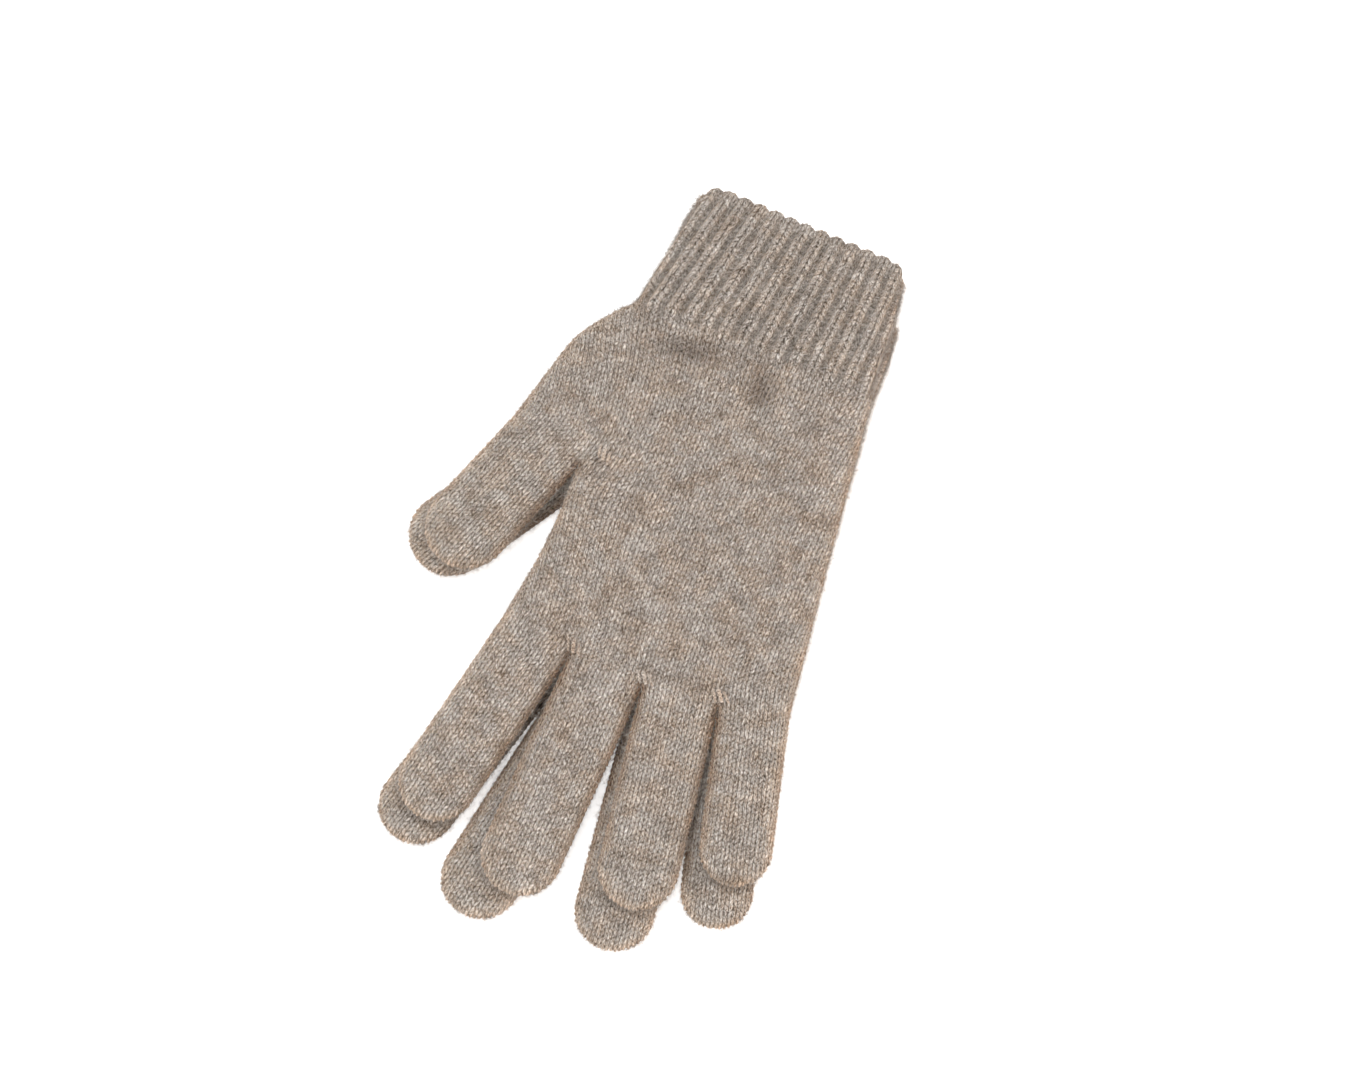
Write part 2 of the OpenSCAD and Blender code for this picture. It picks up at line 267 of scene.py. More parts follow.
def to_segments(points, outline):
    """Distance from each plan point to a polyline."""
    flat = points.reshape(-1, 2)
    best = np.full(len(flat), 1e9)
    if len(outline) > LONG_OUTLINE:
        outline = np.vstack([outline[:-1:THINNED], outline[-1:]])
    for a, b in zip(outline, outline[1:]):
        span = b - a
        share = np.clip(((flat - a) @ span) / max(span @ span, 1e-9), 0, 1)
        best = np.minimum(best, np.hypot(*(flat - a - share[:, None] * span).T))
    return best.reshape(points.shape[:-1])


def to_point(points, at):
    return np.hypot(points[..., 0] - at[0], points[..., 1] - at[1])


def wale_of(i):
    return WALE_THUMB if i == THUMB else WALE_FINGER


def finger_lattice(glove, i, points):
    """A point's place across and along the stitches of finger i, in wales and courses."""
    middle = sum(root(glove, i)) / 2
    local = points - middle
    x, y = local @ across(glove["lay"][i]), local @ -along(glove["lay"][i])
    return middle[0] / WALE_PALM + x / wale_of(i), (-middle[1] - y) / COURSE


def hand_lattice(glove, points, side_shift):
    """Wale and course of points on the hand: straight from the cuff, then fanning out to the fingers."""
    x, y = points[..., 0], points[..., 1]
    wale = 1 / WALE_WRIST + (1 / WALE_PALM - 1 / WALE_WRIST) * smooth(-y / PALM_WALES_FROM)
    s, t = x * wale / PALM_HOLD**2, -y / COURSE / PALM_HOLD**2
    weight = np.full(x.shape, 1 / PALM_HOLD**2)
    for i in range(len(FINGERS)):
        near = 1 / np.maximum(to_segments(points, root(glove, i)), 1e-4) ** 2
        near = near * smooth(-y / FINGERS_PULL_FROM)
        si, ti = finger_lattice(glove, i, points)
        s, t, weight = s + near * si, t + near * ti, weight + near
    return s / weight + side_shift / WALE_PALM, t / weight


def hand_faces(glove):
    """The hand's gusset patch and palm patch, which share a cut from the wrist to the thumb's crotch."""
    thumb_l, crotch = root(glove, THUMB)
    wrist_l, wrist_r = np.array([-WRIST_W / 2, 0.0]), np.array([WRIST_W / 2, 0.0])
    finger_cols = [columns(w) for w in FINGER_W]
    gusset_cols = finger_cols[THUMB]
    gusset_rows = int(THUMB_DROP / CELL)
    palm_rows = int((KNUCKLE_DROP - THUMB_DROP) / CELL)
    wrist = line(wrist_l, wrist_r, spaced(WRIST_W, sum(finger_cols)))
    cut = line(wrist[gusset_cols], crotch, np.linspace(0, 1, gusset_rows + 1))
    swell = (-WRIST_W / 2 - GUSSET_SWELL, -GUSSET_DROP)
    upper_rows = int(gusset_rows * GUSSET_SHARE)
    gusset = soft_curve([wrist_l, swell, thumb_l], [upper_rows, gusset_rows - upper_rows], GUSSET_SOFT)
    waist = (crotch + knuckle(glove, INDEX)) / 2 + [PALM_WAIST, 0]
    palm_edge = soft_curve([crotch, waist, knuckle(glove, INDEX)],
                           [palm_rows // 2, palm_rows - palm_rows // 2], PALM_EDGE_SOFT)
    right = soft_curve([wrist_r, crotch + [PALM_W, 0], knuckle(glove, LITTLE + 1)],
                       [gusset_rows, palm_rows], SIDE_SOFT)
    thumb_root = line(thumb_l, crotch, spaced(FINGER_W[THUMB], gusset_cols))
    knuckles = np.vstack(
        [
            line(*root(glove, i), spaced(FINGER_W[i], finger_cols[i]))[(0 if i == INDEX else 1):]
            for i in range(INDEX, LITTLE + 1)
        ]
    )
    gusset_patch = patch(wrist[: gusset_cols + 1], thumb_root, gusset, cut)
    palm_patch = patch(wrist[gusset_cols:], knuckles, np.vstack([cut, palm_edge[1:]]), right)
    faces = []
    for plan in (gusset_patch, palm_patch):
        to_gusset, to_palm, to_right = (to_segments(plan, edge) for edge in (gusset, palm_edge, right))
        d = np.minimum(np.minimum(to_gusset, to_palm), to_right)
        # Each crotch on the hand gets a painted shade round it.
        crotch_shade = np.zeros(d.shape)
        for i in range(THUMB, LITTLE):
            to_crotch = to_point(plan, root(glove, i)[1])
            crotch_shade = np.maximum(crotch_shade, smooth(1 - to_crotch / CROTCH_SHADE_W))
            if i >= INDEX:
                d = np.minimum(d, to_crotch)
        # The two faces meet exactly along the outline.
        if plan is gusset_patch:
            d[:, 0] = 0
        else:
            d[gusset_rows:, 0] = d[:, -1] = 0
        below_crotch = smooth((crotch[1] - plan[..., 1]) / TURN_UNDER)
        shift = unroll(to_right) - unroll(to_gusset) - unroll(to_palm) * below_crotch
        s, t = hand_lattice(glove, plan, shift)
        faces.append(Face(plan, d, s, t, smooth(1 + plan[..., 1] / RIB_FADE), crotch_shade))
    return faces, finger_cols


def finger_face(glove, i, cols):
    """A finger's face: its columns carry on from the root, and its tip is a half disc."""
    w, length = FINGER_W[i], FINGER_LEN[i]
    r = w / 2
    barrel = length - r
    rows = int(barrel / CELL)
    tip_rows = int((r + SIDE_ARC - EDGE_R) / CELL * TIP_ROWS)
    tip = spaced(2 * r, 2 * tip_rows)[tip_rows:] * 2 - 1
    y = np.concatenate([np.linspace(0, barrel, rows + 1), np.full(tip_rows, barrel)])
    b = np.concatenate([np.zeros(rows + 1), tip[1:]])
    aa, bb = np.meshgrid(spaced(w, cols) * 2 - 1, b)
    x = r * aa * np.sqrt(1 - bb * bb / 2)
    yy = y[:, None] + r * bb * np.sqrt(1 - aa * aa / 2)
    d = np.where(bb > 0, r - np.hypot(x, yy - barrel), r - np.abs(x))
    d = np.clip(d, 0, None)
    d[:, 0] = d[:, -1] = d[-1] = 0
    lay = glove["lay"][i]
    plan = sum(root(glove, i)) / 2 + x[..., None] * across(lay) + yy[..., None] * along(lay)
    s, t = finger_lattice(glove, i, plan)
    # Between two fingers the fabric only starts to turn under past the crotch.
    from_root = smooth(yy / TURN_UNDER)
    open_l = 1.0 if i in (THUMB, INDEX) else from_root
    open_r = 1.0 if i == LITTLE else from_root
    s = s + (unroll(r - x) * open_r - unroll(r + x) * open_l) / wale_of(i)
    # The flanks between two fingers get a painted shade, most of all near the crotch.
    near_root = 1 - CROTCH_SHADE_EASE * smooth(yy / CROTCH_SHADE_EASE_LEN)
    left_flank = smooth(1 - (r + x) / CROTCH_SHADE_W) * near_root * (i > INDEX)
    right_flank = smooth(1 - (r - x) / CROTCH_SHADE_W) * near_root * (i < LITTLE)
    crotch_shade = np.maximum(left_flank, right_flank) * smooth((barrel + CROTCH_SHADE_PAST - yy) / CROTCH_SHADE_END)
    return Face(plan, d, s, t, np.zeros(s.shape), crotch_shade)


def cuff_face(glove, shares, reach, s_wrist):
    """The cuff's face at distances reach from the wrist, its columns at shares of its width."""
    f = (reach / CUFF_LEN)[:, None]
    w = WRIST_W + (CUFF_MOUTH_W - WRIST_W) * f
    angle = math.radians(glove["lean"])
    x = (shares[None] - 0.5) * w
    turn = angle * f
    plan = np.stack(
        [-math.sin(angle) * reach[:, None] + x * np.cos(turn),
         math.cos(angle) * reach[:, None] + x * np.sin(turn)], -1)
    d = np.minimum(shares[None] * w, (1 - shares[None]) * w)
    s = s_wrist[None] - RIB_SKEW * f
    t = np.broadcast_to(-reach[:, None] / COURSE, s.shape)
    return Face(plan, d, s, t, np.ones(s.shape), np.zeros(s.shape))


# ---- Relief --------------------------------------------------------------------------------------
def rib_of(s):
    """1 on a rib, 0 in the valley."""
    return np.sqrt(0.5 + 0.5 * np.sin(math.pi * s))


def half_round(v):
    return np.sqrt(np.clip(1 - v * v, 0, 1))


def relief(s, t, rib):
    """Height of the stitches over the fabric's middle, and the wale coordinate that the ribs widen."""
    sw = s + rib * RIB_WIDENING / math.pi * np.cos(math.pi * s)
    column = np.floor(2 * sw)
    x = 2 * sw - column - 0.5
    slant = 1 - 2 * np.mod(column, 2)
    tau = t + slant * LEG_SLANT * x
    f = tau - np.floor(tau)
    leg = half_round(LEG_NARROW * (x + slant * LEG_TILT * (f - 0.5)))
    stitch = leg * (LEG_ENDS + (1 - LEG_ENDS) * half_round(2 * f - 1))
    purl = np.cos(2 * math.pi * t) * 0.5 + 0.5
    on_rib = rib_of(s)
    plain = STITCH_RISE * (stitch - STITCH_SEAT)
    ribbed = RIB_RISE * on_rib * (stitch - 0.5) + (1 - on_rib) * (PURL_RISE * purl - RIB_DEPTH)
    return (1 - rib) * plain + rib * ribbed, sw


def wander(plan, height, length, seed):
    """Smooth irregular values around 0, from a few waves in random directions."""
    a, b = plan[..., 0], plan[..., 1]
    waves = np.random.default_rng(seed)
    total = 0
    for _ in range(7):
        angle, phase, stretch = waves.uniform(0, 2 * math.pi, 2).tolist() + [waves.uniform(0.6, 1.7)]
        place = a * math.cos(angle) + b * math.sin(angle)
        total = total + np.sin(place * 2 * math.pi / length * stretch + phase)
    return total / 4 * height


def hollows(glove, plan):
    dip = 0
    for i in range(INDEX, LITTLE):
        at = root(glove, i)[1] + [0, CROTCH_DENT_BACK]
        dip = dip + CROTCH_DENT * np.exp(-(to_point(plan, at) / CROTCH_DENT_W) ** 2)
    for x, y, wide, tall, deep in HOLLOWS:
        dip = dip + deep * np.exp(-((plan[..., 0] - x) / wide) ** 2 - ((plan[..., 1] - y) / tall) ** 2)
    return dip


def glove_faces(name, glove):
    """All of a glove's faces as (piece, side, face, depth in the fabric, distance from the wrist)."""
    hand, finger_cols = hand_faces(glove)
    shares = spaced(WRIST_W, sum(finger_cols))
    s_wrist = np.concatenate([hand[0].s[0], hand[1].s[0][1:]])
    body = np.linspace(0, CUFF_LEN - CUFF_EDGE_LEN, int(CUFF_LEN / CELL))
    outside = np.linspace(body[-1], CUFF_LEN - FABRIC / 2, EDGE_ROWS)
    rim = np.linspace(0, math.pi, RIM_ROWS + 1)[1:]
    back = np.linspace(outside[-1], body[-1], BACK_ROWS + 1)[1:]
    edge = np.concatenate([outside, outside[-1] + FABRIC / 2 * np.sin(rim), back])
    over_rim = FABRIC / 2 * (1 - np.cos(rim))
    edge_depth = np.concatenate([np.zeros(EDGE_ROWS), over_rim, np.full(BACK_ROWS, FABRIC)])
    lining = np.linspace(body[-1], 1, LINING_ROWS)
    cuff_parts = (
        ("cuff", body, np.zeros(len(body))), ("cuff_edge", edge, edge_depth),
        ("cuff", lining, np.full(LINING_ROWS, FABRIC)),
    )
    found = []
    for side in (1, -1):
        found += [(f"{name}_hand", side, face, 0, None) for face in hand]
        for i, finger in enumerate(FINGERS):
            found.append((f"{name}_{finger}", side, finger_face(glove, i, finger_cols[i]), 0, None))
        for part, reach, depth in cuff_parts:
            face = cuff_face(glove, shares, reach, s_wrist)
            found.append((f"{name}_{part}", side, face, depth[:, None], reach))
    return found


def mouth(d, s, rib, reach):
    """How far the cuff's rows move out: the mouth's corners are rounded, and each rib ends in a bulge."""
    near_side = 1 - np.clip(d, 0, MOUTH_CORNER) / MOUTH_CORNER
    corner = MOUTH_CORNER * MOUTH_CUT * (1 - np.sqrt(1 - near_side**2))
    bulge = smooth((reach - (CUFF_LEN - CUFF_EDGE_LEN)) / CUFF_EDGE_LEN)[:, None]
    fading = smooth((reach - (CUFF_LEN - 2 * CUFF_EDGE_LEN)) / CUFF_EDGE_LEN)[:, None]
    outer_half = smooth((reach - CUFF_LEN / 2) / (CUFF_LEN / 2))[:, None]
    out = bulge * RIB_END_BULGE * (rib_of(s) - 0.55) - corner * outer_half
    return out, rib * (1 - (1 - RIB_END) * fading)


def sheet(name, glove, piece, side, face, depth, reach):
    """A face in the round: its surface before the relief, the relief, and what its colours need."""
    plan, d, s, t, rib, crotch_shade = face
    rows, cols = s.shape
    z = half_height(d)
    if np.any(depth):
        # The lining keeps clear of the outer layer all round, so it is narrower as well as lower.
        z = z * (1 - depth / (LOFT / 2))
        centre = plan[:, cols // 2][:, None]
        width = np.linalg.norm(plan[:, -1] - plan[:, 0], axis=1)[:, None, None]
        plan = centre + (plan - centre) * (1 - 2 * np.broadcast_to(depth, s.shape)[..., None] / width)
    in_cuff = reach is not None
    if in_cuff:
        out, rib = mouth(d, s, rib, reach)
        plan = plan + out[..., None] * across(glove["lean"] + 90)
    level = side * z / LOFT + 0.5
    hollow = np.zeros(s.shape)
    if side > 0:
        inside = smooth(d / EDGE_R)
        bed = wander(plan, *BED_BROAD[name]) + wander(plan, *BED_FINE)
        if name == "upper":
            hollow = hollows(glove, plan) * inside
        z = z + bed * inside - hollow
    base = np.concatenate([plan, (side * z + LOFT / 2)[..., None]], -1)
    t = t + wander(plan, *COURSE_DRIFT)
    rise, sw = relief(s + wander(plan, *WALE_DRIFT), t, rib)
    rise = rise * (1 + wander(plan, *RISE_DRIFT))
    # The stitches open up where the fabric turns over at the outline.
    rise = rise * (1 + EDGE_OPENING * (1 - rib) * smooth(1 - np.abs(level - 0.5) / EDGE_OPENING_REACH))
    rise = np.where(np.broadcast_to(depth, s.shape) > FABRIC * 0.9, -rise * LINING_RISE, rise)
    grid = np.arange(rows * cols).reshape(rows, cols)
    quads = np.stack([grid[:-1, :-1], grid[1:, :-1], grid[1:, 1:], grid[:-1, 1:]], -1).reshape(-1, 4)
    if (side < 0) != in_cuff:
        quads = quads[:, ::-1]
    # What the painted light and shade need: its share of the glove's height, for the painted warm light
    # round the sides, and how hollow it is and how near a crotch, for the painted shade.
    painted_shading = np.stack([level, np.clip(hollow / DEEP_HOLLOW, 0, 1), crotch_shade], -1)
    return dict(piece=piece, side=side, quads=quads, shape=(rows, cols), liner=bool(np.all(depth > 0)),
                base=base.reshape(-1, 3), rise=rise.ravel(), level=level.ravel(),
                knit=np.stack([sw, t, rib], -1).reshape(-1, 3), painted_shading=painted_shading.reshape(-1, 3))


def build(name, glove):
    """Raises a glove's stitches on its welded surface and returns the sheets of each of its pieces."""
    sheets = [sheet(name, glove, *found) for found in glove_faces(name, glove)]
    # Every vertex learns the number of its place, so that seams between pieces stay closed.
    base = np.vstack([s["base"] for s in sheets])
    key = np.round(base / WELD).astype(np.int64)
    key = (key[:, 0] << 42) ^ (key[:, 1] << 21) ^ key[:, 2]
    _, first, place = np.unique(key, return_index=True, return_inverse=True)
    place = place.ravel()
    count = len(first)
    quads = place[joined(sheets)]
    rises = np.concatenate([s["rise"] for s in sheets])
    rise = np.bincount(place, rises, count) / np.bincount(place, None, count)

    def normals(points):
        a = points[quads[:, 2]] - points[quads[:, 0]]
        b = points[quads[:, 3]] - points[quads[:, 1]]
        facing = np.cross(a, b)
        total = np.zeros((count, 3))
        for axis in range(3):
            for corner in range(4):
                total[:, axis] += np.bincount(quads[:, corner], facing[:, axis], count)
        return total / np.maximum(np.linalg.norm(total, axis=1, keepdims=True), 1e-12)

    shared = base[first]
    raised = shared + normals(shared) * rise[:, None]
    normal = normals(raised)
    made, start = {}, 0
    for s in sheets:
        here = place[start : start + len(s["base"])]
        start += len(s["base"])
        s["points"] = placed(glove, raised[here])
        s["normals"] = turned(glove, normal[here])
        s["rest"] = s["base"] / 10
        face = ("_top" if s["side"] > 0 else "_under") if s["piece"].endswith("hand") else ""
        made.setdefault(s["piece"] + face, []).append(s)
    return made


# ---- Meshes --------------------------------------------------------------------------------------
def joined(sheets):
    """The quads of several sheets, numbered through."""
    quads, start = [], 0
    for s in sheets:
        quads.append(s["quads"] + start)
        start += len(s["base"])
    return np.vstack(quads)


def stacked(sheets, key):
    return np.vstack([s[key] for s in sheets])


def new_mesh(name, points, quads, material, attributes, normals=None, uv=None):
    mesh = bpy.data.meshes.new(name)
    mesh.vertices.add(len(points))
    mesh.vertices.foreach_set("co", np.asarray(points, np.float32).ravel())
    mesh.loops.add(quads.size)
    mesh.loops.foreach_set("vertex_index", quads.astype(np.int32).ravel())
    mesh.polygons.add(len(quads))
    mesh.polygons.foreach_set("loop_start", np.arange(0, quads.size, 4, dtype=np.int32))
    mesh.update(calc_edges=True)
    mesh.polygons.foreach_set("use_smooth", np.ones(len(quads), bool))
    for key, value in attributes.items():
        mesh.attributes.new(key, "FLOAT_VECTOR", "POINT").data.foreach_set(
            "vector", np.asarray(value, np.float32).ravel()
        )
    if uv is not None:
        layer = mesh.uv_layers.new(name="OFBake")
        layer.data.foreach_set("uv", np.asarray(uv, np.float32)[quads.ravel()].ravel())
    mesh.materials.append(material)
    mesh.validate()
    if normals is not None:
        mesh.normals_split_custom_set_from_vertices(normals.astype(np.float32).tolist())
    obj = bpy.data.objects.new(name, mesh)
    bpy.context.scene.collection.objects.link(obj)
    return obj


def sheet_uv(sheets):
    """Each sheet fills a strip of its own of the map, as wide as its share of the columns."""
    widths = np.array([s["shape"][1] * (MAP_LINER if s["liner"] else 1) for s in sheets], float)
    widths = widths / widths.sum() * (1 - MAP_GAP * len(sheets))
    out, x = [], MAP_GAP / 2
    for s, w in zip(sheets, widths):
        rows, cols = s["shape"]
        u, v = np.meshgrid(np.linspace(x, x + w, cols), np.linspace(MAP_MARGIN, 1 - MAP_MARGIN, rows))
        out.append(np.stack([u, v], -1).reshape(-1, 2))
        x += w + MAP_GAP
    return np.vstack(out)


def nap(name, sheets, count, seed):
    """Loose wool fibres that stand off the fabric: thin curved ribbons of three quads each."""
    g = np.random.default_rng(seed)
    outer = [s for s in sheets if not s["liner"]]
    points, normals, rest = (stacked(outer, key) for key in ("points", "normals", "rest"))
    # More of them show at the outline, where the fabric turns over.
    level = np.concatenate([s["level"] for s in outer])
    share = 1 + NAP_AT_EDGE * smooth(1 - np.abs(level - 0.5) / NAP_EDGE_REACH)
    pick = g.choice(len(points), count, p=share / share.sum())
    p, n = points[pick], normals[pick]
    side = np.cross(n, g.normal(size=(count, 3)))
    side /= np.maximum(np.linalg.norm(side, axis=1, keepdims=True), 1e-9)
    other = np.cross(n, side)
    length = np.clip(g.gamma(*NAP_LENGTH, count), 0, NAP_LONGEST)[:, None] * MM
    lift = g.uniform(*NAP_LIFT, count)[:, None]
    curl = g.normal(0, NAP_CURL, (count, 1))
    half = g.uniform(*NAP_HALF_WIDTH, count)[:, None] * MM
    rows = []
    for f, taper in ((0, 1.0), (1 / 3, 0.9), (2 / 3, 0.7), (1, 0.25)):
        reach = side * f + n * lift * f * (1.25 - f * 0.6) + other * curl * f * f
        q = p + length * reach if f else p - n * 0.1 * MM
        rows += [q - other * half * taper, q + other * half * taper]
    verts = np.stack(rows, 1).reshape(-1, 3)
    verts[:, 2] = np.maximum(verts[:, 2], 0)
    first = np.arange(count)[:, None] * 8
    quads = np.concatenate([first + [2 * k, 2 * k + 1, 2 * k + 3, 2 * k + 2] for k in range(3)])
    cells = math.ceil(math.sqrt(count))
    ids = np.arange(count)
    corner = np.stack([ids % cells, ids // cells], -1) / cells
    ribbon = np.array([[x, y] for y in (0.1, 0.37, 0.63, 0.9) for x in (0.2, 0.8)])
    uv = np.repeat(corner, 8, 0) + np.tile(ribbon / cells, (count, 1))
    return new_mesh(name, verts, quads, nap_material, {"rest": np.repeat(rest[pick], 8, 0)}, uv=uv)


# ---- Materials -----------------------------------------------------------------------------------
class Graph:
    """Short names for the nodes of a material."""

    def __init__(self, name):
        self.material = bpy.data.materials.new(name)
        self.material.use_nodes = True
        self.tree = self.material.node_tree
        self.bsdf = self.tree.nodes["Principled BSDF"]

    def set(self, **values):
        """Sets the shader's own sockets."""
        for socket, value in values.items():
            self.bsdf.inputs[socket.replace("_", " ")].default_value = value

    def put(self, node, socket, value):
        if isinstance(value, bpy.types.NodeSocket):
            self.tree.links.new(value, node.inputs[socket])
        elif value is not None:
            node.inputs[socket].default_value = value

    def math(self, how, a, b=None, c=None):
        node = self.tree.nodes.new("ShaderNodeMath")
        node.operation = how
        for k, value in enumerate((a, b, c)):
            self.put(node, k, value)
        return node.outputs[0]

    def times(self, a, b):
        return self.math("MULTIPLY", a, b)

    def less(self, a, b):
        return self.math("SUBTRACT", a, b)

    def scale_add(self, a, scale, add):
        return self.math("MULTIPLY_ADD", a, scale, add)

    def half_round(self, v):
        inside = self.scale_add(self.times(v, -1.0), v, 1.0)
        return self.math("SQRT", self.math("MAXIMUM", inside, 0.0))

    def attribute(self, name):
        node = self.tree.nodes.new("ShaderNodeAttribute")
        node.attribute_name = name
        return node.outputs["Vector"]

    def split(self, vector):
        node = self.tree.nodes.new("ShaderNodeSeparateXYZ")
        self.put(node, 0, vector)
        return node.outputs

    def vector(self, x, y, z):
        node = self.tree.nodes.new("ShaderNodeCombineXYZ")
        for k, value in enumerate((x, y, z)):
            self.put(node, k, value)
        return node.outputs[0]

    def scaled(self, vector, scale):
        node = self.tree.nodes.new("ShaderNodeVectorMath")
        node.operation = "MULTIPLY"
        self.put(node, 0, vector)
        node.inputs[1].default_value = scale
        return node.outputs[0]

    def noise(self, vector, scale, detail=2.0, roughness=0.5):
        node = self.tree.nodes.new("ShaderNodeTexNoise")
        self.put(node, "Vector", vector)
        node.inputs["Scale"].default_value = scale
        node.inputs["Detail"].default_value = detail
        node.inputs["Roughness"].default_value = roughness
        return node.outputs[0]

    def white(self, vector):
        node = self.tree.nodes.new("ShaderNodeTexWhiteNoise")
        self.put(node, "Vector", vector)
        return node.outputs["Value"]

    def ramp(self, value, *stops):
        node = self.tree.nodes.new("ShaderNodeValToRGB")
        self.put(node, 0, value)
        elements = node.color_ramp.elements
        while len(elements) < len(stops):
            elements.new(0.5)
        for element, (at, colour) in zip(elements, stops):
            element.position = at
            element.color = (*(colour if isinstance(colour, tuple) else (colour,) * 3), 1)
        return node.outputs["Color"]

    def tint(self, colour, by, factor=1.0):
        """A colour multiplied by another, as far as the factor says."""
        node = self.tree.nodes.new("ShaderNodeMix")
        node.data_type = "RGBA"
        node.blend_type = "MULTIPLY"
        self.put(node, "Factor", factor)
        self.put(node, 6, colour)
        self.put(node, 7, (*by, 1) if isinstance(by, tuple) else by)
        return node.outputs[2]

    def bump(self, height, distance, strength, normal=None):
        node = self.tree.nodes.new("ShaderNodeBump")
        node.inputs["Distance"].default_value = distance
        node.inputs["Strength"].default_value = strength
        self.put(node, "Height", height)
        self.put(node, "Normal", normal)
        return node.outputs[0]


def srgb(r, g, b):
    def linear(c):
        c /= 255
        return c / 12.92 if c <= 0.04045 else ((c + 0.055) / 1.055) ** 2.4

    return tuple(linear(c) for c in (r, g, b))


# The fleece: dark and tan fibres spun in with grey-beige and pale ones.
DARK, BROWN, GREY_BEIGE = srgb(72, 64, 58), srgb(132, 122, 113), srgb(170, 160, 151)
BEIGE, PALE = srgb(200, 191, 182), srgb(228, 222, 216)
TAN = (1.05, 0.855, 0.68)
SPUN = (0.93, 0.975, 1.01)       # the whole yarn is a little cooler than its fibres
# Painted shade for the hollows and a crotch, and a painted warm light for the sides.
PAINTED_HOLLOW_SHADE = (0.5, 0.47, 0.45)
PAINTED_SIDE_LIGHT = (1.13, 0.995, 0.885)
SHADED = (0.42, 0.33, 0.26)
DULL_STITCH, BRIGHT_STITCH = (0.82, 0.815, 0.81), (1.15, 1.15, 1.15)
# How fast the fibres change across a leg, along it and from leg to leg, and the streaks from wale to
# wale and from course to course.
FIBRE_PACE, STREAK_PACE = (8.0, 2.6, 1.7), (0.3, 0.75)
PURL_BAR, PURL_TONE = 0.07, 0.44
# The painted shade and highlight of the stitches' relief: in a hole, on a flank and on a crest.
HOLE_SHADE, FLANK_SHADE, CREST_HIGHLIGHT = (0.04, 0.036, 0.03), (0.55, 0.54, 0.53), (1.18, 1.18, 1.19)


def heather(graph, yarn, rest, courses):
    """The colour of spun wool, from its place on the yarn, on the glove and along its courses."""
    light = 0.5
    for noise, contrast in (
        (graph.noise(yarn, 1.0, 3.0, 0.7), 4.2),       # single fibres
        (graph.noise(rest, 1.1, 3.0, 0.6), 0.6),       # lighter and darker patches
        (graph.noise(courses, 1.0, 2.0, 0.6), 0.45),   # streaks along the courses
    ):
        light = graph.scale_add(graph.less(noise, 0.5), contrast, light)
    colour = graph.ramp(light, (0.0, DARK), (0.3, BROWN), (0.52, GREY_BEIGE), (0.75, BEIGE), (1.0, PALE))
    streaks = graph.noise(graph.scaled(courses, (1.3, 1.7, 1.0)), 1.0, 3.0, 0.65)
    tan = graph.scale_add(graph.noise(rest, 1.3, 2.0, 0.5), 0.9, graph.times(streaks, 0.5))
    share = graph.ramp(tan, (0.61, 0.22), (0.81, 0.76))
    return graph.tint(colour, TAN, graph.times(share, graph.scale_add(light, -0.9, 1.35)))


